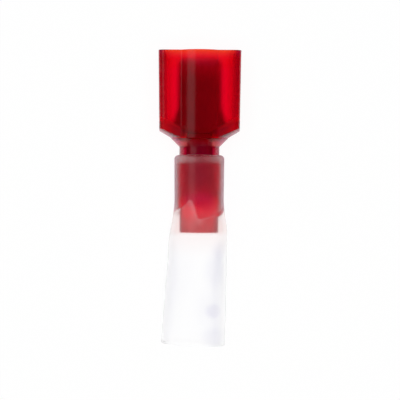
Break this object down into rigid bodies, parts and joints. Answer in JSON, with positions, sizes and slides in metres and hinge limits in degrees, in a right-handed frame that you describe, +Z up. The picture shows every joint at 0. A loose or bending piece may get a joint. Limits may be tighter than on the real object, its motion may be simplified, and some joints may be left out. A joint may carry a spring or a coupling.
{
  "type": "male spade terminal",
  "caption": "Fully insulated male spade terminal: red translucent nylon hood round a flat blade, with a crimp barrel and a clear heat-shrink sleeve over the wire entry.",
  "frame": {"origin": "middle of the part's footprint, on the surface that it lies on", "axes": "+Y along the axis from the wire entry to the open hood, +X across the flat blade, +Z up, out of the hood's broad face"},
  "size_m": [0.012, 0.0426, 0.0085],
  "materials": {
    "red_nylon": "translucent, smooth from the mould",
    "tinned_brass": "tin plated, satin",
    "clear_tube": "clear, slightly milky, adhesive lined"
  },
  "bodies": {
    "root": {"housing": "red_nylon", "blade_terminal": "tinned_brass", "heat_shrink_tube": "clear_tube"}
  },
  "joints": []
}
